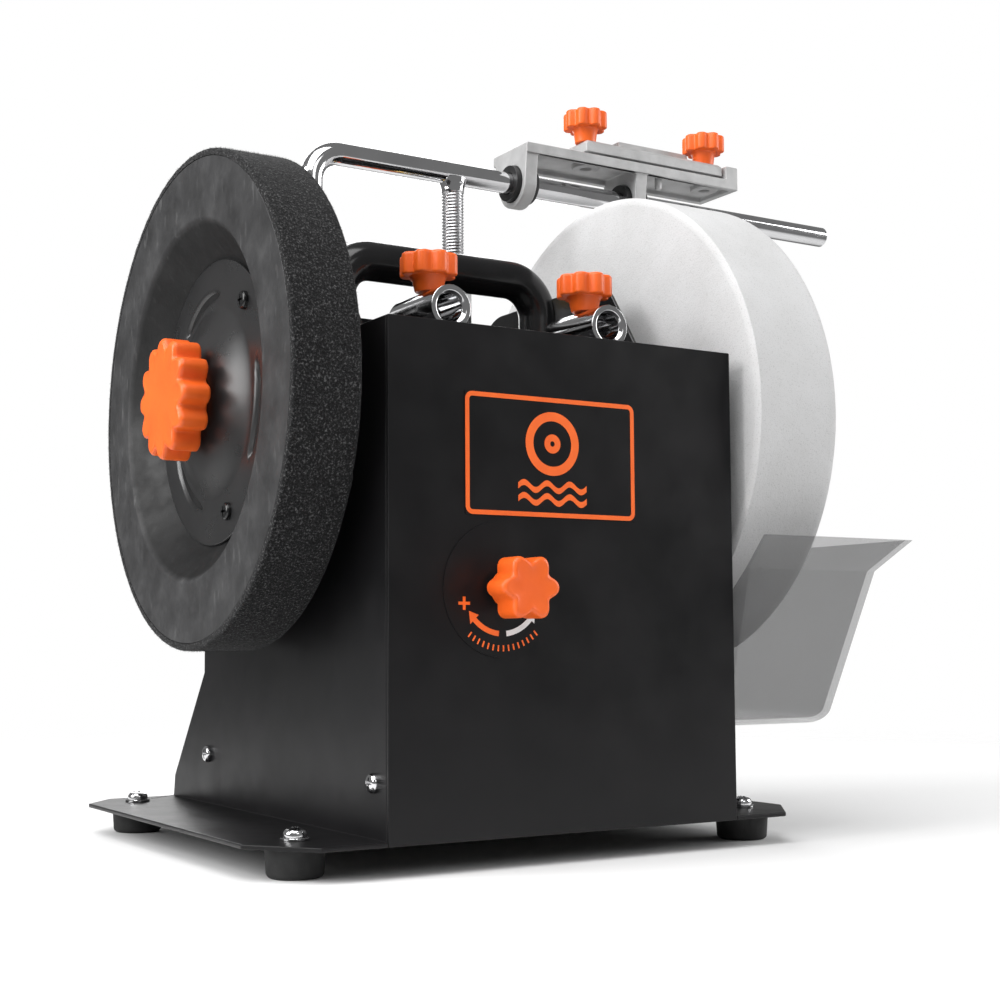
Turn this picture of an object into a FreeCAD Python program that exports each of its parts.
import FreeCAD, Part
import math
import os

# Wet grinding sharpener. Millimetres, +Z up, +X towards the grinding stone, -Y towards the user.
# The pieces are laid out from a corner frame: x = 0 midway between the side panels, y = 0 on the
# front panel's face, z = 0 under the foot flanges. At the end everything is moved so that the
# origin is the bottom centre of the whole machine.

# Housing
sheet = 2.0
housing_width = 183.2
housing_height = 218.5
housing_depth = 200.0
kick_height = 68.0
kick_reach = 41.0
kick_foot = 13.0
flange_reach = 52.4
flange_chamfer_front = (22.5, 28.0)
flange_chamfer_rear = (17.0, 19.0)
return_width = 20.0
return_gap = 4.0

# Feet
foot_height = 13.0
foot_top_radius = 12.75
foot_bottom_radius = 12.0
foot_inset = 24.5
foot_front = 29.3
foot_rear_reach = 20.0

# Main shaft and wheels
axis_y = 114.5
axis_below_top = 24.2
shaft_radius = 6.0
bush_radius = 10.0
bush_length = 14.0
bush_flange_radius = 14.0
bush_flange = 2.5
bush_proud = 0.5
end_play = 0.3
run_clearance = 0.08
stone_radius = 125.0
stone_width = 50.0
stone_gap = 8.8
stone_washer_radius = 25.0
stone_washer = 2.5
collar_radius = 11.0
honing_radius = 115.0
honing_width = 30.9
honing_gap = 11.9
strop_thickness = 3.0
recess_mouth_radius = 83.5
recess_floor_radius = 67.5
recess_depth = 14.0
hub_disc_radius = 66.5
hub_disc_thickness = 1.5
dome_radius = 44.0
dome_top_radius = 17.0
dome_rise = 9.0
hub_screw_ring = 55.0
hub_screw_count = 3
hub_screw_angle = 11.0
honing_knob_radius = 28.0
honing_knob_length = 14.0
honing_knob_boss = 3.0
honing_boss_radius = 16.0
shaft_end_inset = 4.0
honing_knob_lobes = 12
tyre_radius = 72.0
tyre_thickness = 6.0
tyre_width = 7.0
tyre_side = 1.0
hub_screw_depth = 7.0
dome_inner_step = 1.0
honing_lobe_share = 0.17
shaft_past_washer = 14.0
wheel_nut_length = 10.0

# Motor
roller_radius = 4.0
roller_gap = 0.05
motor_radius = 46.0
motor_length = 95.0
motor_wall = 3.0
end_cap = 10.0
stator_length = 60.0
rotor_radius = 24.5
air_gap = 0.5
panel_hole_radius = 11.0
pivot_y = 40.0
pivot_z = 150.0
pin_radius = 4.0
pivot_tube_radius = 7.0
pivot_tube_length = 120.0
arm_thickness = 3.0
arm_bottom = 88.0
strap_width = 30.0
strap_thickness = 3.0
ear_position = 70.0
ear_thickness = 4.0
ear_reach = 10.0
pin_proud = 2.0
neck_overlap = 5.0
neck_half_height = 12.0
motor_shaft_tail = 3.0

# Torque adjuster
torque_x = -36.8
torque_z = 105.2
torque_stud_radius = 4.0
torque_nut_radius = 9.0
torque_nut_length = 10.0
torque_knob_radius = 14.25
torque_knob_length = 14.0
torque_knob_stand = 10.0
torque_stem_radius = 8.0
torque_stem_gap = 3.3
torque_knob_lobes = 6
pad_radius = 6.0
pad_length = 8.0
nose_radius = 3.0
nose_length = 1.5
pad_gap = 0.3

# Horizontal and vertical sleeves, and their lock knobs
bar_radius = 6.0
sleeve_radius = 10.0
sleeve_chamfer = 1.5
front_sleeve_x = (-51.5, 33.75)
front_sleeve_start = 16.0
front_sleeve_length = 40.0
saddle_width = 14.0
saddle_height = 5.0
saddle_inset = 3.0
rear_sleeve_length = 51.5
lock_stud_radius = 3.0
lock_stud_gap = 0.25
lock_knob_radius = 13.2
lock_knob_length = 10.0
lock_stem_length = 7.0
lock_stem_radius = 6.5
lock_knob_lobes = 8
lock_knob_gap = 0.2
rear_lock_rise = 19.5

# Tool support
leg_y = 160.4
leg_left_x = -50.1
leg_right_x = 35.2
bar_above_stone = 19.4
bar_past_stone = 157.6
bar_bend_radius = 16.0
bar_end_chamfer = 1.0
leg_below_top = 38.5
weld_height = 5.0
weld_radius = 8.5
nut_radius = 11.0
nut_length = 11.0
nut_gap = 0.15
nut_chamfer = 1.0

# Black carrier bracket and carry handle on the top plate
carrier_inset = 12.6
carrier_front = 62.0
carrier_rear_inset = 1.0
stem_slack = 1.0
leg_slack = 1.0
cheek_foot = 46.0
cheek_shoulder = 79.0
cheek_height = 49.0
cheek_round = 22.0
cross_wall_height = 35.0
handle_y = 114.0
handle_height = 50.5
handle_half_span = 59.0
handle_radius = 9.75
handle_wall = 1.5
handle_bend = 19.0

# Straight-edge jig
jig_before_stone = 26.4
jig_past_stone = 75.6
jig_front = 145.0
jig_rear = 180.0
jig_plate_rise = 20.3
jig_plate = 6.0
jig_ear_width = 8.0
jig_ear_from_stone = 49.6
jig_boss_radius = 13.5
jig_bush_radius = 10.0
jig_bush_length = 15.0
jig_bush_proud = 3.0
jig_rim = 4.0
jig_pocket = 3.0
jig_stud_boss = 8.0
jig_pin_place = 96.0
jig_pin_radius = 2.0
jig_pin_length = 9.0
jig_lug = 9.0
jig_lug_height = 8.0
jig_lug_depth = 16.0
clamp_start = 42.0
clamp_end_gap = 10.5
clamp_front = 147.0
clamp_rear = 173.0
clamp_gap = 2.0
clamp_thickness = 7.0
ridge_start = 32.0
ridge_end_gap = 16.5
ridge_front = 158.0
ridge_rear = 171.0
ridge_height = 7.0
jig_knob_inset = (5.5, 7.0)
jig_knob_y = 156.0
jig_knob_radius = 12.5
jig_knob_length = 10.0
jig_stem_length = 8.0
jig_stem_radius = 6.25

# Water trough
trough_wall = 2.5
trough_hang = 2.9
trough_past_stone = 24.6
trough_depth = 74.0
trough_below_stone = 26.8
trough_end_inset = 2.5
trough_draft = 17.5
trough_round = 9.0
lip_reach = 13.0
lip_height = 15.0
trough_side_drop = 15.5
hook_reach = (54.5, 55.5)
hook_below_top = 28.5
hook_radius = 3.0
hook_head_radius = 5.5
hook_head = 2.0
hook_gap = 0.3

# Labels, switch, cord inlet, capacitor and screws
label_thickness = 0.3
emblem_x = -10.2
emblem_below_top = 55.5
emblem_width = 89.0
emblem_height = 52.5
torque_label_radius = 29.0
switch_x = 55.0
switch_z = 110.0
switch_width = 26.0
switch_height = 18.0
switch_depth = 24.0
bezel = 2.0
rocker_width = 21.0
rocker_radius = 6.5
rocker_slack = 0.5
rocker_reach = 7.0
rocker_dish = 1.1
rocker_key_inset = 1.0
inlet_x = -55.0
inlet_z = 90.0
inlet_radius = 8.0
inlet_bore = 3.75
inlet_flange = 11.0
inlet_length = 14.0
inlet_tongue = 4.0
inlet_flange_thickness = 3.0
inlet_neck_wall = 2.0
vent_count = 9
vent_pitch = 12.0
vent_width = 5.0
vent_low = 130.0
vent_high = 175.0
base_vent_reach = (10.0, 35.0)
capacitor_radius = 15.0
capacitor_length = 62.0
capacitor_y = 66.0
cover_screw_radius = 2.0
cover_screw_head = 4.2
cover_screw_front = (12.7, 25.0)
cover_screw_rear_inset = 7.0
cover_screw_rear_z = 26.8
cover_screw_inside = 3.0
hook_inside = 4.0
screw_head_height = 2.4
tab_length = 44.0
tab_height = 38.0
foot_screw_radius = 2.5
foot_screw_head = 5.0
foot_screw_head_height = 4.4
foot_washer = 1.2
foot_washer_radius = 6.2
foot_screw_depth = 9.0

# Worked out from the sizes above
half_width = housing_width / 2
inside = half_width - sheet
axis_z = housing_height - axis_below_top
foot_rear = housing_depth + foot_rear_reach
cover_screw_rear = (housing_depth - cover_screw_rear_inset, cover_screw_rear_z)
sleeve_bore = bar_radius + run_clearance
web_z = housing_height + sheet
rear_sleeve_top = web_z + rear_sleeve_length
rear_lock_height = web_z + rear_lock_rise
handle_top = web_z + handle_height
carrier_half_width = half_width - carrier_inset
leg_bottom = housing_height - leg_below_top
emblem_z = housing_height - emblem_below_top
stone_inner = half_width + stone_gap
stone_outer = stone_inner + stone_width
honing_inner = -half_width - honing_gap
honing_outer = honing_inner - honing_width
hub_floor = honing_outer + recess_depth
dome_top = hub_floor - hub_disc_thickness - dome_rise
knob_back = dome_top - lock_knob_gap
knob_face = knob_back - honing_knob_boss - honing_knob_length
shaft_collar = half_width + bush_proud + end_play
motor_y = axis_y
motor_z = axis_z - tyre_radius - roller_radius - roller_gap
drive_wheel_face = honing_inner + tyre_width + 2 * tyre_side
arm_face = pivot_y + pivot_tube_radius - arm_thickness
pad_face = arm_face - pad_gap
stud_tip = pad_face - nose_length - pad_length / 2
torque_face = -torque_knob_stand - torque_knob_length
front_sleeve_z = housing_height + sleeve_radius
bar_z = axis_z + stone_radius + bar_above_stone
bar_end_x = stone_outer + bar_past_stone
jig_left = stone_inner - jig_before_stone
jig_right = stone_outer + jig_past_stone
jig_second_ear = stone_inner + jig_ear_from_stone
jig_plate_top = bar_z + jig_plate_rise
jig_pin_x = jig_left + jig_pin_place
clamp_left = jig_left + clamp_start
clamp_right = jig_right - clamp_end_gap
clamp_bottom = jig_plate_top + clamp_gap
clamp_top = clamp_bottom + clamp_thickness
ridge_left = clamp_left + ridge_start
ridge_right = clamp_right - ridge_end_gap
jig_knob_x = (clamp_left + jig_knob_inset[0], clamp_right - jig_knob_inset[1])
trough_left = half_width + trough_hang
trough_right = stone_outer + trough_past_stone
trough_bottom = axis_z - stone_radius - trough_below_stone
trough_top = trough_bottom + trough_depth
trough_half_length = stone_radius - trough_end_inset
trough_front = axis_y - trough_half_length
trough_rear = axis_y + trough_half_length
hook_y = (axis_y - hook_reach[0], axis_y + hook_reach[1])
hook_z = trough_top - hook_below_top
X_AXIS = FreeCAD.Vector(1, 0, 0)
Y_AXIS = FreeCAD.Vector(0, 1, 0)
Z_AXIS = FreeCAD.Vector(0, 0, 1)


def vec(x, y, z):
    return FreeCAD.Vector(x, y, z)


def block(x, y, z):
    # x, y and z are (low, high) pairs
    size = (x[1] - x[0], y[1] - y[0], z[1] - z[0])
    return Part.makeBox(size[0], size[1], size[2], vec(x[0], y[0], z[0]))


def rod(radius, start, axis, length):
    return Part.makeCylinder(radius, length, start, axis)


def along_x(radius, low, high, y=axis_y, z=axis_z):
    return rod(radius, vec(low, y, z), X_AXIS, high - low)


def along_z(radius, low, high, x, y):
    return rod(radius, vec(x, y, low), Z_AXIS, high - low)


def along_y(radius, low, high, x, z):
    return rod(radius, vec(x, low, z), Y_AXIS, high - low)


def fuse(first, *others):
    return first.fuse(list(others)).removeSplitter()


def prism_yz(points, low, high):
    # a closed outline of (y, z) points, as thick as low to high along X
    corners = [vec(low, y, z) for y, z in points]
    face = Part.Face(Part.makePolygon(corners + corners[:1]))
    return face.extrude(vec(high - low, 0, 0))


def prism_xy(points, low, high):
    corners = [vec(x, y, low) for x, y in points]
    face = Part.Face(Part.makePolygon(corners + corners[:1]))
    return face.extrude(vec(0, 0, high - low))


def turned(points, y=axis_y, z=axis_z):
    # a ring or disc about the X axis through (y, z), from (x, radius) points
    corners = [vec(x, y, z + radius) for x, radius in points]
    face = Part.Face(Part.makePolygon(corners + corners[:1]))
    return face.revolve(vec(0, y, z), X_AXIS, 360)


def swept(radius, points, middle):
    # a round rod whose centre line is straight runs joined by an arc at its middle points
    path = [Part.makeLine(points[0], middle[0][0])]
    for index, (start, via, end) in enumerate(middle):
        path.append(Part.Arc(start, via, end).toShape())
        following = middle[index + 1][0] if index + 1 < len(middle) else points[-1]
        path.append(Part.makeLine(end, following))
    line = Part.Wire(path)
    direction = (middle[0][0] - points[0]).normalize()
    ring = Part.Wire(Part.makeCircle(radius, points[0], direction))
    return line.makePipeShell([ring], True, False)


def bend_points(corner, before, after, bend):
    # start, middle and end of the arc that rounds a square corner
    start = corner - before * bend
    end = corner + after * bend
    centre = corner - before * bend + after * bend
    outward = (corner - centre).normalize()
    return (start, centre + outward * bend, end)


def lobed(radius, length, lobes, start, axis, lobe_share=0.3):
    # a hand knob's head: a drum with round finger lobes about its edge
    lobe = radius * lobe_share
    ring = radius - lobe
    side = Z_AXIS if abs(axis.x) > 0.5 else X_AXIS
    head = rod(ring, start, axis, length)
    for index in range(lobes):
        turn = FreeCAD.Rotation(axis, 360.0 * index / lobes)
        centre = start + turn.multVec(side) * ring
        head = head.fuse(rod(lobe, centre, axis, length))
    return head.removeSplitter()


def side_panel(side):
    # one side of the housing, with the foot flange bent outwards at its bottom
    low, high = sorted((side * inside, side * half_width))
    base_depth = housing_depth + kick_reach
    wall = prism_yz([
        (sheet, 0),
        (sheet, housing_height),
        (housing_depth, housing_height),
        (housing_depth, kick_height),
        (base_depth, kick_foot),
        (base_depth + sheet, 0),
    ], low, high)
    reach = half_width + flange_reach
    outline = [
        (inside, sheet),
        (half_width, sheet),
        (half_width, 0),
        (reach - flange_chamfer_front[0], 0),
        (reach, flange_chamfer_front[1]),
        (reach, base_depth + sheet - flange_chamfer_rear[1]),
        (reach - flange_chamfer_rear[0], base_depth + sheet),
        (inside, base_depth + sheet),
    ]
    flange = prism_xy([(side * x, y) for x, y in outline], 0, sheet)
    panel = fuse(wall, flange)
    panel = panel.cut(along_x(bush_radius, low - 1, high + 1))
    for y, z in (cover_screw_front, cover_screw_rear):
        panel = panel.cut(along_x(cover_screw_radius, low - 1, high + 1, y, z))
    for y in (foot_front, foot_rear):
        panel = panel.cut(along_z(foot_screw_radius, -1, sheet + 1, side * (reach - foot_inset), y))
    if side < 0:
        return panel.cut(along_x(panel_hole_radius, low - 1, high + 1, motor_y, motor_z))
    for y in hook_y:
        panel = panel.cut(along_x(hook_radius, low - 1, high + 1, y, hook_z))
    return panel


def front_panel():
    face = block((-half_width, half_width), (0, sheet), (0, housing_height))
    low = sheet + return_gap
    high = housing_height - sheet - return_gap
    for side in (-1, 1):
        wall = tuple(sorted((side * (inside - sheet), side * inside)))
        flap = block(wall, (sheet, sheet + return_width), (low, high))
        hole = along_x(cover_screw_radius, wall[0] - 1, wall[1] + 1, *cover_screw_front)
        face = face.fuse(flap).cut(hole)
    stud = along_y(torque_stud_radius + run_clearance, -1, sheet + 1, torque_x, torque_z)
    return face.cut(stud).removeSplitter()


def top_plate():
    plate = block((-inside, inside), (sheet, housing_depth), (housing_height - sheet, housing_height))
    for x in (leg_left_x, leg_right_x):
        plate = plate.cut(along_z(sleeve_bore + leg_slack, housing_height - sheet - 1, web_z, x, leg_y))
    return plate


def rear_cover():
    # a sheet that follows the side panels' rear edges, with vents, a switch and a cord inlet
    base_depth = housing_depth + kick_reach
    fold = sheet * math.tan(math.atan2(kick_reach, kick_height - kick_foot) / 2)
    top = housing_height - sheet
    cover = prism_yz([
        (housing_depth, top),
        (housing_depth, kick_height),
        (base_depth, kick_foot),
        (base_depth, sheet),
        (base_depth - sheet, sheet),
        (base_depth - sheet, kick_foot - fold),
        (housing_depth - sheet, kick_height - fold),
        (housing_depth - sheet, top),
    ], -inside, inside)
    depth = (housing_depth - sheet - 1, housing_depth + 1)
    for index in range(vent_count):
        x = (index - (vent_count - 1) / 2) * vent_pitch
        width = (x - vent_width / 2, x + vent_width / 2)
        cover = cover.cut(block(width, depth, (vent_low, vent_high)))
    cover = cover.cut(block(
        (switch_x - switch_width / 2, switch_x + switch_width / 2),
        depth,
        (switch_z - switch_height / 2, switch_z + switch_height / 2),
    ))
    return cover.cut(along_y(inlet_radius, depth[0], depth[1], inlet_x, inlet_z))


def base_plate():
    end = housing_depth + kick_reach
    plate = block((-inside, inside), (sheet, end), (0, sheet))
    middle = cover_screw_rear[0]
    for side in (-1, 1):
        wall = tuple(sorted((side * (inside - sheet), side * inside)))
        tab = block(wall, (middle - tab_length / 2, middle + tab_length / 2), (sheet, tab_height))
        hole = along_x(cover_screw_radius, wall[0] - 1, wall[1] + 1, *cover_screw_rear)
        plate = plate.fuse(tab).cut(hole)
    for index in range(vent_count):
        x = (index - (vent_count - 1) / 2) * vent_pitch
        depth = (motor_y - base_vent_reach[0], motor_y + base_vent_reach[1])
        slot = block((x - vent_width / 2, x + vent_width / 2), depth, (-1, sheet + 1))
        plate = plate.cut(slot)
    return plate.removeSplitter()


def support_carrier():
    # a folded bracket: a web on the top plate, two rounded cheeks and a cross wall behind the sleeves
    half = carrier_half_width
    rear = housing_depth - carrier_rear_inset
    top = housing_height + cheek_height
    carrier = block((-half, half), (carrier_front, rear), (housing_height, web_z))
    for side in (-1, 1):
        low, high = sorted((side * (half - sheet), side * half))
        cheek = prism_yz([
            (cheek_foot, housing_height),
            (cheek_shoulder, top),
            (rear, top),
            (rear, housing_height),
        ], low, high)
        corners = [edge for edge in cheek.Edges if is_cheek_corner(edge, top, rear)]
        carrier = carrier.fuse(cheek.makeFillet(cheek_round, corners))
    wall_y = leg_y + sleeve_radius
    wall = block((-half, half), (wall_y, wall_y + sheet), (housing_height, web_z + cross_wall_height))
    carrier = carrier.fuse(wall)
    for x in (leg_left_x, leg_right_x):
        carrier = carrier.cut(along_z(sleeve_bore, housing_height - 1, web_z + 1, x, leg_y))
        behind = wall_y + sheet + 1
        stem_hole = along_y(lock_stem_radius + stem_slack, wall_y - 1, behind, x, rear_lock_height)
        carrier = carrier.cut(stem_hole)
    return carrier.removeSplitter()


def is_cheek_corner(edge, top, rear):
    # the two upper corners of a cheek, whose edges run along X
    box = edge.BoundBox
    return box.XLength > sheet / 2 and abs(box.ZMin - top) < 0.01 and box.YLength < 0.01


def carry_handle():
    def tube(radius):
        left = vec(-handle_half_span, handle_y, web_z)
        right = vec(handle_half_span, handle_y, web_z)
        up = Z_AXIS
        first = bend_points(vec(-handle_half_span, handle_y, handle_top), up, X_AXIS, handle_bend)
        second = bend_points(vec(handle_half_span, handle_y, handle_top), X_AXIS, up * -1, handle_bend)
        return swept(radius, (left, right), (first, second))
    return tube(handle_radius).cut(tube(handle_radius - handle_wall))


def front_sleeve(x):
    # a chromed sleeve on a small saddle, bored for a support bar, with a chamfered mouth at each end
    end = front_sleeve_start + front_sleeve_length
    body = along_y(sleeve_radius, front_sleeve_start, end, x, front_sleeve_z)
    saddle = block(
        (x - saddle_width / 2, x + saddle_width / 2),
        (front_sleeve_start + saddle_inset, end - saddle_inset),
        (housing_height, housing_height + saddle_height),
    )
    bore = along_y(sleeve_bore, front_sleeve_start - 1, end + 1, x, front_sleeve_z)
    wide = sleeve_bore + sleeve_chamfer
    mouth = vec(x, front_sleeve_start, front_sleeve_z)
    front = Part.makeCone(wide, sleeve_bore, sleeve_chamfer, mouth, Y_AXIS)
    back = Part.makeCone(wide, sleeve_bore, sleeve_chamfer, vec(x, end, front_sleeve_z), Y_AXIS * -1)
    lock = along_z(
        lock_stud_radius + run_clearance, front_sleeve_z, front_sleeve_z + sleeve_radius + 1, x, lock_y()
    )
    return fuse(body, saddle).cut([bore, front, back, lock])


def lock_y():
    return front_sleeve_start + front_sleeve_length / 2


def rear_sleeve(x):
    body = along_z(sleeve_radius, web_z, rear_sleeve_top, x, leg_y)
    bore = along_z(sleeve_bore, web_z - 1, rear_sleeve_top + 1, x, leg_y)
    wide = sleeve_bore + sleeve_chamfer
    mouth = Part.makeCone(wide, sleeve_bore, sleeve_chamfer, vec(x, leg_y, rear_sleeve_top), Z_AXIS * -1)
    lock = along_y(lock_stud_radius + run_clearance, leg_y, leg_y + sleeve_radius + 1, x, rear_lock_height)
    return body.cut([bore, mouth, lock])


def lock_knob(centre, axis):
    # a lobed knob on a stud; centre is on the sleeve's own axis
    stud_length = sleeve_radius - sleeve_bore - lock_stud_gap + lock_stem_length
    stud = rod(lock_stud_radius, centre + axis * (sleeve_bore + lock_stud_gap), axis, stud_length)
    foot = centre + axis * (sleeve_radius + lock_knob_gap)
    stem = rod(lock_stem_radius, foot, axis, lock_stem_length + 1)
    head_at = foot + axis * lock_stem_length
    head = lobed(lock_knob_radius, lock_knob_length, lock_knob_lobes, head_at, axis)
    return Part.makeCompound([fuse(head, stem).cut(stud), stud])


def support_bar():
    # the smooth leg and the bar, one bent rod
    corner = vec(leg_left_x, leg_y, bar_z)
    foot = vec(leg_left_x, leg_y, leg_bottom)
    end = vec(bar_end_x, leg_y, bar_z)
    bend = bend_points(corner, Z_AXIS, X_AXIS, bar_bend_radius)
    bar = swept(bar_radius, (foot, end), (bend,))
    tips = [edge for edge in bar.Edges if edge.BoundBox.XMin > bar_end_x - 0.01]
    return bar.makeChamfer(bar_end_chamfer, tips)


def threaded_leg():
    # stands square under the bar and is welded to it all round
    leg = along_z(bar_radius, leg_bottom, bar_z, leg_right_x, leg_y)
    weld_foot = vec(leg_right_x, leg_y, bar_z - bar_radius - weld_height)
    weld = Part.makeCone(bar_radius, weld_radius, weld_height + bar_radius / 2, weld_foot, Z_AXIS)
    bar = along_x(bar_radius, leg_left_x, bar_end_x, leg_y, bar_z)
    return fuse(leg, weld).cut(bar)


def micro_adjust_nut():
    low = rear_sleeve_top + nut_gap
    nut = along_z(nut_radius, low, low + nut_length, leg_right_x, leg_y)
    rims = [edge for edge in nut.Edges if edge.BoundBox.ZLength < 0.01]
    nut = nut.makeChamfer(nut_chamfer, rims)
    return nut.cut(along_z(sleeve_bore, low - 1, low + nut_length + 1, leg_right_x, leg_y))


def jig_ear(low):
    ear = prism_yz([
        (jig_front, jig_plate_top),
        (jig_rear, jig_plate_top),
        (leg_y + jig_boss_radius, bar_z),
        (leg_y - jig_boss_radius, bar_z),
    ], low, low + jig_ear_width)
    boss = along_x(jig_boss_radius, low, low + jig_ear_width, leg_y, bar_z)
    return fuse(ear, boss)


def jig_base():
    # a cast plate with a pocket below, an ear round each bush, a guide pin and a stop lug
    low = jig_plate_top - jig_plate
    base = block((jig_left, jig_right), (jig_front, jig_rear), (low, jig_plate_top))
    pocket = block(
        (jig_left + jig_ear_width, jig_right - jig_rim),
        (jig_front + jig_rim, jig_rear - jig_rim),
        (low, low + jig_pocket),
    )
    base = base.cut(pocket)
    base = base.fuse([jig_ear(jig_left), jig_ear(jig_second_ear)])
    for x in jig_knob_x:
        base = base.fuse(along_z(jig_stud_boss, low, jig_plate_top, x, jig_knob_y))
    pin_y = jig_front + jig_rim + jig_pin_radius
    pin_foot = low - jig_pin_length + jig_pocket
    base = base.fuse(along_z(jig_pin_radius, pin_foot, jig_plate_top, jig_pin_x, pin_y))
    lug = block(
        (jig_right - jig_lug, jig_right),
        (jig_front, jig_front + jig_lug_depth),
        (jig_plate_top, jig_plate_top + jig_lug_height),
    )
    base = base.fuse(lug)
    stud = lock_stud_radius + run_clearance
    for x in jig_knob_x:
        base = base.cut(along_z(stud, low - 1, jig_plate_top + 1, x, jig_knob_y))
    hole = along_x(jig_bush_radius + run_clearance, jig_left - 1, jig_right + 1, leg_y, bar_z)
    return base.cut(hole).removeSplitter()


def jig_bushes():
    bore = along_x(sleeve_bore, jig_left - jig_bush_length, jig_right, leg_y, bar_z)
    bushes = []
    for ear in (jig_left, jig_second_ear):
        low = ear - jig_bush_proud
        bushes.append(along_x(jig_bush_radius, low, low + jig_bush_length, leg_y, bar_z).cut(bore))
    return Part.makeCompound(bushes)


def jig_clamp_bar():
    bar = block((clamp_left, clamp_right), (clamp_front, clamp_rear), (clamp_bottom, clamp_top))
    edges = [edge for edge in bar.Edges if edge.BoundBox.ZMin > clamp_top - 0.01]
    bar = bar.makeChamfer(clamp_thickness / 4, edges)
    ridge = prism_yz([
        (ridge_front, clamp_top),
        (ridge_front + ridge_height / 4, clamp_top + ridge_height),
        (ridge_rear - ridge_height / 4, clamp_top + ridge_height),
        (ridge_rear, clamp_top),
    ], ridge_left, ridge_right)
    bar = bar.fuse(ridge).removeSplitter()
    stud = lock_stud_radius + run_clearance
    for x in jig_knob_x:
        bar = bar.cut(along_z(stud, clamp_bottom - 1, clamp_top + 1, x, jig_knob_y))
    return bar


def jig_knob(x):
    foot = vec(x, jig_knob_y, clamp_top + lock_knob_gap)
    low = jig_plate_top - jig_plate
    stud = along_z(lock_stud_radius, low + 1, clamp_top + jig_stem_length, x, jig_knob_y)
    stem = rod(jig_stem_radius, foot, Z_AXIS, jig_stem_length + 1)
    head = lobed(jig_knob_radius, jig_knob_length, lock_knob_lobes, foot + Z_AXIS * jig_stem_length, Z_AXIS)
    return Part.makeCompound([fuse(head, stem).cut(stud), stud])


def main_shaft():
    shaft = along_x(shaft_radius, knob_face + shaft_end_inset, stone_outer + stone_washer + shaft_past_washer)
    left = along_x(collar_radius, drive_wheel_face, -shaft_collar)
    right = along_x(collar_radius, shaft_collar, stone_inner - stone_washer)
    return fuse(shaft, left, right)


def shaft_bush(side):
    outer = half_width + bush_proud
    inner = inside - bush_flange
    low, high = sorted((side * outer, side * (outer - bush_length)))
    body = along_x(bush_radius, low, high)
    low, high = sorted((side * inner, side * inside))
    flange = along_x(bush_flange_radius, low, high)
    return fuse(body, flange).cut(along_x(shaft_radius + run_clearance, -half_width - 5, half_width + 5))


def honing_wheel_body():
    bore = shaft_radius
    rim = honing_radius - strop_thickness
    return turned([
        (honing_inner, bore),
        (honing_inner, rim),
        (honing_outer, rim),
        (honing_outer, recess_mouth_radius),
        (hub_floor, recess_floor_radius),
        (hub_floor, bore),
    ]).cut(hub_screw_holes())


def honing_strop():
    rim = honing_radius - strop_thickness
    return turned([
        (honing_inner, rim),
        (honing_inner, honing_radius - 1),
        (honing_inner - 1, honing_radius),
        (honing_outer + 1, honing_radius),
        (honing_outer, honing_radius - 1),
        (honing_outer, rim),
    ])


def hub_disc():
    # a pressed steel disc with a raised dome, hollow behind
    back = hub_floor
    face = hub_floor - hub_disc_thickness
    dome_back = dome_top + hub_disc_thickness
    disc = turned([
        (back, hub_disc_radius),
        (face, hub_disc_radius),
        (face, dome_radius),
        (dome_top, dome_top_radius),
        (dome_top, shaft_radius),
        (dome_back, shaft_radius),
        (dome_back, dome_top_radius - dome_inner_step),
        (back, dome_radius - dome_inner_step),
    ])
    return disc.cut(hub_screw_holes())


def hub_screw_places():
    for index in range(hub_screw_count):
        angle = math.radians(hub_screw_angle + 360.0 * index / hub_screw_count)
        yield axis_y + hub_screw_ring * math.cos(angle), axis_z + hub_screw_ring * math.sin(angle)


def hub_screw_holes():
    front = hub_floor - hub_disc_thickness - 1
    back = hub_floor + hub_screw_depth + 1
    return [along_x(cover_screw_radius, front, back, y, z) for y, z in hub_screw_places()]


def hub_disc_screws():
    face = hub_floor - hub_disc_thickness
    screws = []
    for y, z in hub_screw_places():
        shank = along_x(cover_screw_radius, face, hub_floor + hub_screw_depth, y, z)
        head = along_x(cover_screw_head, face - screw_head_height, face, y, z)
        screws.append(fuse(shank, head))
    return Part.makeCompound(screws)


def honing_knob():
    face = vec(knob_face, axis_y, axis_z)
    head = lobed(honing_knob_radius, honing_knob_length, honing_knob_lobes, face, X_AXIS, honing_lobe_share)
    boss = along_x(honing_boss_radius, knob_face + 1, knob_back)
    bore_end = knob_face + shaft_end_inset - end_play
    return fuse(head, boss).cut(along_x(shaft_radius + run_clearance, bore_end, knob_back + 1))


def drive_wheel():
    return turned([
        (honing_inner, shaft_radius),
        (honing_inner, tyre_radius - tyre_thickness),
        (drive_wheel_face, tyre_radius - tyre_thickness),
        (drive_wheel_face, shaft_radius),
    ])


def drive_tyre():
    low = honing_inner + tyre_side
    return turned([
        (low, tyre_radius - tyre_thickness),
        (low, tyre_radius),
        (low + tyre_width, tyre_radius),
        (low + tyre_width, tyre_radius - tyre_thickness),
    ])


def grinding_wheel():
    return turned([
        (stone_inner, shaft_radius),
        (stone_inner, stone_radius - 1),
        (stone_inner + 1, stone_radius),
        (stone_outer - 1, stone_radius),
        (stone_outer, stone_radius - 1),
        (stone_outer, shaft_radius),
    ])


def wheel_washers():
    inner = along_x(stone_washer_radius, stone_inner - stone_washer, stone_inner)
    outer = along_x(stone_washer_radius, stone_outer, stone_outer + stone_washer)
    shaft = along_x(shaft_radius, stone_inner - 10, stone_outer + 10)
    return Part.makeCompound([inner.cut(shaft), outer.cut(shaft)])


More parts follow.
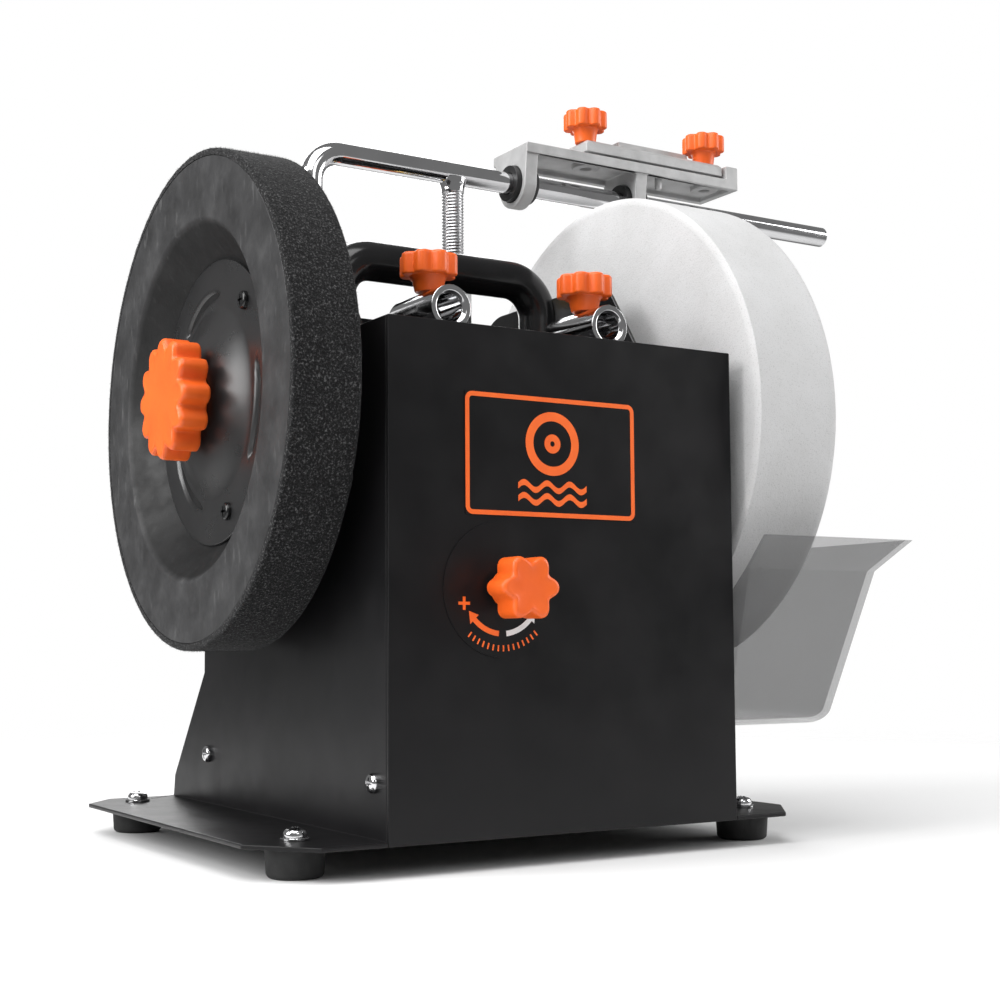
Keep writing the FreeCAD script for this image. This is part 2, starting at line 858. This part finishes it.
def wheel_nut():
    low = stone_outer + stone_washer
    corners = []
    for index in range(6):
        angle = math.radians(60.0 * index)
        corners.append((axis_y + collar_radius * math.cos(angle), axis_z + collar_radius * math.sin(angle)))
    high = low + wheel_nut_length
    return prism_yz(corners, low, high).cut(along_x(shaft_radius, low - 1, high + 1))


def motor_housing():
    half = motor_length / 2
    outer = along_x(motor_radius, -half, half, motor_y, motor_z)
    return outer.cut(along_x(motor_radius - motor_wall, -half, half, motor_y, motor_z))


def motor_end_caps():
    half = motor_length / 2
    shaft = along_x(roller_radius + run_clearance, -half - 20, half + 20, motor_y, motor_z)
    left = along_x(motor_radius, -half - end_cap, -half, motor_y, motor_z)
    right = along_x(motor_radius, half, half + end_cap, motor_y, motor_z)
    return Part.makeCompound([left.cut(shaft), right.cut(shaft)])


def motor_stator():
    half = stator_length / 2
    outer = along_x(motor_radius - motor_wall, -half, half, motor_y, motor_z)
    return outer.cut(along_x(rotor_radius + air_gap, -half, half, motor_y, motor_z))


def motor_rotor():
    half = stator_length / 2
    outer = along_x(rotor_radius, -half, half, motor_y, motor_z)
    return outer.cut(along_x(roller_radius, -half, half, motor_y, motor_z))


def motor_shaft():
    low = honing_inner + tyre_side
    high = motor_length / 2 + end_cap + motor_shaft_tail
    return along_x(roller_radius, low, high, motor_y, motor_z)


def motor_cradle():
    # a tube on the pivot pin, an arm hanging from it and a strap round the motor
    half = pivot_tube_length / 2
    tube = along_x(pivot_tube_radius, -half, half, pivot_y, pivot_z)
    arm = block((-half, half), (arm_face, arm_face + arm_thickness), (arm_bottom, pivot_z))
    strap_half = strap_width / 2
    strap = along_x(motor_radius + strap_thickness, -strap_half, strap_half, motor_y, motor_z)
    neck = block(
        (-strap_half, strap_half),
        (arm_face, motor_y - motor_radius + neck_overlap),
        (motor_z - neck_half_height, motor_z + neck_half_height),
    )
    cradle = fuse(tube, arm, strap, neck)
    cradle = cradle.cut(along_x(motor_radius, -half, half, motor_y, motor_z))
    return cradle.cut(along_x(pin_radius + run_clearance, -half - 1, half + 1, pivot_y, pivot_z))


def pivot_brackets():
    ears = []
    pin = along_x(pin_radius, -half_width, half_width, pivot_y, pivot_z)
    for side in (-1, 1):
        low, high = sorted((side * ear_position, side * (ear_position + ear_thickness)))
        ear = block((low, high), (sheet, pivot_y + ear_reach), (pivot_z - ear_reach, pivot_z + ear_reach))
        ears.append(ear.cut(pin))
    return Part.makeCompound(ears)


def cradle_pivot_pin():
    reach = ear_position + ear_thickness + pin_proud
    return along_x(pin_radius, -reach, reach, pivot_y, pivot_z)


def torque_nut():
    body = along_y(torque_nut_radius, sheet, sheet + torque_nut_length, torque_x, torque_z)
    bore = torque_stud_radius + run_clearance
    return body.cut(along_y(bore, 0, sheet + torque_nut_length + 1, torque_x, torque_z))


def torque_stud():
    return along_y(torque_stud_radius, torque_face + torque_knob_length / 2, stud_tip, torque_x, torque_z)


def torque_knob():
    face = vec(torque_x, torque_face, torque_z)
    head = lobed(torque_knob_radius, torque_knob_length, torque_knob_lobes, face, Y_AXIS)
    stem_start = torque_face + torque_knob_length - 1
    stem = along_y(torque_stem_radius, stem_start, -torque_stem_gap, torque_x, torque_z)
    return fuse(head, stem).cut(torque_stud())


def torque_thrust_pad():
    low = pad_face - nose_length - pad_length
    body = along_y(pad_radius, low, low + pad_length, torque_x, torque_z)
    nose = along_y(nose_radius, low + pad_length, pad_face, torque_x, torque_z)
    seat = along_y(torque_stud_radius + run_clearance, low - 1, stud_tip + run_clearance, torque_x, torque_z)
    return fuse(body, nose).cut(seat)


def capacitor():
    half = capacitor_length / 2
    return along_x(capacitor_radius, -half, half, capacitor_y, sheet + capacitor_radius)


def switch_body():
    x = (switch_x - switch_width / 2, switch_x + switch_width / 2)
    z = (switch_z - switch_height / 2, switch_z + switch_height / 2)
    rim = (housing_depth, housing_depth + bezel)
    body = block(x, (housing_depth - switch_depth, rim[1]), z)
    frame = block((x[0] - bezel, x[1] + bezel), rim, (z[0] - bezel, z[1] + bezel))
    slack = rocker_radius + rocker_slack
    well = block(
        (switch_x - rocker_width / 2 - rocker_slack, switch_x + rocker_width / 2 + rocker_slack),
        (rocker_y() - slack, rim[1] + 1),
        (switch_z - slack, switch_z + slack),
    )
    return fuse(body, frame).cut(well)


def rocker_y():
    return housing_depth - rocker_radius / 2


def switch_rocker():
    half = rocker_width / 2
    drum = along_x(rocker_radius, switch_x - half, switch_x + half, rocker_y(), switch_z)
    height = rocker_radius - rocker_key_inset
    width = (switch_x - half, switch_x + half)
    top = rocker_y() + rocker_reach
    keys = block(width, (rocker_y(), top), (switch_z - height, switch_z + height))
    dish = height * 2
    hollow = along_x(dish, width[0] - 1, width[1] + 1, top + dish - rocker_dish, switch_z)
    return fuse(drum, keys).cut(hollow)


def cord_inlet():
    low = housing_depth - sheet - inlet_tongue
    end = housing_depth + inlet_length
    body = along_y(inlet_radius, low, housing_depth, inlet_x, inlet_z)
    flange = along_y(inlet_flange, housing_depth, housing_depth + inlet_flange_thickness, inlet_x, inlet_z)
    tip = inlet_bore + inlet_neck_wall
    neck = Part.makeCone(inlet_radius, tip, inlet_length, vec(inlet_x, housing_depth, inlet_z), Y_AXIS)
    return fuse(body, flange, neck).cut(along_y(inlet_bore, low - 1, end + 1, inlet_x, inlet_z))


def rings_loft(levels):
    # a solid between level rectangles, from (x pair, y pair, z) levels
    rings = []
    for x, y, z in levels:
        corners = [vec(x[0], y[0], z), vec(x[1], y[0], z), vec(x[1], y[1], z), vec(x[0], y[1], z)]
        rings.append(Part.makePolygon(corners + corners[:1]))
    return Part.makeLoft(rings, True, True)


def water_trough():
    # an open tank drafted on three sides, its lip flared on them, with slots for two shoulder screws
    def level(out, z, wall):
        x = (trough_left + wall, trough_right + out - wall)
        y = (trough_front - out + wall, trough_rear + out - wall)
        return (x, y, z)

    def tank(wall, bottom):
        inward = trough_draft * (trough_top - bottom) / (trough_top - trough_bottom)
        body = rings_loft([level(-inward, bottom, wall), level(0, trough_top, wall)])
        floor = [edge for edge in body.Edges if edge.BoundBox.ZMax < bottom + 0.01]
        return body.makeFillet(trough_round - wall, floor)

    def flare(wall):
        return rings_loft([level(0, trough_top, wall), level(lip_reach, trough_top + lip_height, wall)])

    outer = fuse(tank(0, trough_bottom), flare(0))
    inner = fuse(tank(trough_wall, trough_bottom + trough_wall), flare(trough_wall))
    trough = outer.cut(inner)
    lip_top = trough_top + lip_height + 1
    rim_y = (trough_front + trough_wall, trough_rear - trough_wall)
    side_y = (rim_y[0] + trough_side_drop, rim_y[1] - trough_side_drop)
    lean = lip_reach / lip_height * (lip_height + 1)
    trough = trough.cut(prism_yz([
        (rim_y[0] - lean, lip_top),
        (rim_y[0], trough_top),
        (side_y[0], trough_top - trough_side_drop),
        (side_y[1], trough_top - trough_side_drop),
        (rim_y[1], trough_top),
        (rim_y[1] + lean, lip_top),
    ], trough_left - 1, trough_left + trough_wall))
    width = hook_radius + hook_gap
    for y in hook_y:
        x = (trough_left - 1, trough_left + trough_wall + 1)
        slot = block(x, (y - width, y + width), (hook_z, lip_top))
        trough = trough.cut(slot).cut(along_x(width, x[0], x[1], y, hook_z))
    return trough


def trough_screws():
    head = trough_left + trough_wall + hook_gap
    screws = []
    for y in hook_y:
        shank = along_x(hook_radius, inside - hook_inside, head, y, hook_z)
        screws.append(fuse(shank, along_x(hook_head_radius, head, head + hook_head, y, hook_z)))
    return Part.makeCompound(screws)


def emblem_plate():
    x = (emblem_x - emblem_width / 2, emblem_x + emblem_width / 2)
    z = (emblem_z - emblem_height / 2, emblem_z + emblem_height / 2)
    return block(x, (-label_thickness, 0), z)


def torque_label():
    disc = along_y(torque_label_radius, -label_thickness, 0, torque_x, torque_z)
    return disc.cut(along_y(torque_stud_radius + 1, -1, 1, torque_x, torque_z))


def foot_places():
    x = half_width + flange_reach - foot_inset
    return [(side * x, y) for side in (-1, 1) for y in (foot_front, foot_rear)]


def rubber_feet():
    feet = []
    for x, y in foot_places():
        ground = vec(x, y, -foot_height)
        foot = Part.makeCone(foot_bottom_radius, foot_top_radius, foot_height, ground, Z_AXIS)
        feet.append(foot.cut(along_z(foot_screw_radius, -foot_screw_depth, 1, x, y)))
    return Part.makeCompound(feet)


def foot_screws():
    # pan head screws, each with its washer
    screws = []
    for x, y in foot_places():
        seat = sheet + foot_washer
        shank = along_z(foot_screw_radius, -foot_screw_depth, seat, x, y)
        washer = along_z(foot_washer_radius, sheet, seat, x, y).cut(shank)
        head = along_z(foot_screw_head, seat, seat + foot_screw_head_height, x, y)
        top = [edge for edge in head.Edges if edge.BoundBox.ZMin > seat + foot_screw_head_height - 0.01]
        screws.append(fuse(shank, head.makeFillet(foot_screw_head_height / 2, top)))
        screws.append(washer)
    return Part.makeCompound(screws)


def cover_screws():
    screws = []
    for side in (-1, 1):
        for y, z in (cover_screw_front, cover_screw_rear):
            low, high = sorted((side * (inside - sheet - cover_screw_inside), side * half_width))
            shank = along_x(cover_screw_radius, low, high, y, z)
            low, high = sorted((side * half_width, side * (half_width + screw_head_height)))
            screws.append(fuse(shank, along_x(cover_screw_head, low, high, y, z)))
    return Part.makeCompound(screws)


def nodes():
    pieces = {
        "left_side_panel": side_panel(-1),
        "right_side_panel": side_panel(1),
        "front_panel": front_panel(),
        "top_plate": top_plate(),
        "rear_cover": rear_cover(),
        "base_plate": base_plate(),
        "support_carrier": support_carrier(),
        "carry_handle": carry_handle(),
        "front_sleeve_left": front_sleeve(front_sleeve_x[0]),
        "front_sleeve_right": front_sleeve(front_sleeve_x[1]),
        "rear_sleeve_left": rear_sleeve(leg_left_x),
        "rear_sleeve_right": rear_sleeve(leg_right_x),
        "front_lock_knob_left": lock_knob(vec(front_sleeve_x[0], lock_y(), front_sleeve_z), Z_AXIS),
        "front_lock_knob_right": lock_knob(vec(front_sleeve_x[1], lock_y(), front_sleeve_z), Z_AXIS),
        "rear_lock_knob_left": lock_knob(vec(leg_left_x, leg_y, rear_lock_height), Y_AXIS),
        "rear_lock_knob_right": lock_knob(vec(leg_right_x, leg_y, rear_lock_height), Y_AXIS),
        "support_bar": support_bar(),
        "threaded_leg": threaded_leg(),
        "micro_adjust_nut": micro_adjust_nut(),
        "jig_base": jig_base(),
        "jig_bushes": jig_bushes(),
        "jig_clamp_bar": jig_clamp_bar(),
        "jig_knob_left": jig_knob(jig_knob_x[0]),
        "jig_knob_right": jig_knob(jig_knob_x[1]),
        "main_shaft": main_shaft(),
        "shaft_bush_left": shaft_bush(-1),
        "shaft_bush_right": shaft_bush(1),
        "honing_wheel_body": honing_wheel_body(),
        "honing_strop": honing_strop(),
        "hub_disc": hub_disc(),
        "hub_disc_screws": hub_disc_screws(),
        "honing_knob": honing_knob(),
        "drive_wheel": drive_wheel(),
        "drive_tyre": drive_tyre(),
        "grinding_wheel": grinding_wheel(),
        "wheel_washers": wheel_washers(),
        "wheel_nut": wheel_nut(),
        "motor_housing": motor_housing(),
        "motor_end_caps": motor_end_caps(),
        "motor_stator": motor_stator(),
        "motor_rotor": motor_rotor(),
        "motor_shaft": motor_shaft(),
        "motor_cradle": motor_cradle(),
        "pivot_brackets": pivot_brackets(),
        "cradle_pivot_pin": cradle_pivot_pin(),
        "torque_nut": torque_nut(),
        "torque_stud": torque_stud(),
        "torque_knob": torque_knob(),
        "torque_thrust_pad": torque_thrust_pad(),
        "capacitor": capacitor(),
        "switch_body": switch_body(),
        "switch_rocker": switch_rocker(),
        "cord_inlet": cord_inlet(),
        "water_trough": water_trough(),
        "trough_screws": trough_screws(),
        "emblem_plate": emblem_plate(),
        "torque_label": torque_label(),
        "rubber_feet": rubber_feet(),
        "foot_screws": foot_screws(),
        "cover_screws": cover_screws(),
    }
    return pieces


def origin():
    # bottom centre of the whole machine's box, in the layout frame
    front = min(torque_face, trough_front - lip_reach)
    rear = max(trough_rear + lip_reach, axis_y + stone_radius, housing_depth + kick_reach + sheet)
    return vec((knob_face + bar_end_x) / 2, (front + rear) / 2, -foot_height)


def export():
    os.makedirs("parts", exist_ok=True)
    shift = origin() * -1
    for name, shape in nodes().items():
        placed = shape.copy()
        placed.translate(shift)
        placed.exportStep("parts/" + name + ".step")


export()
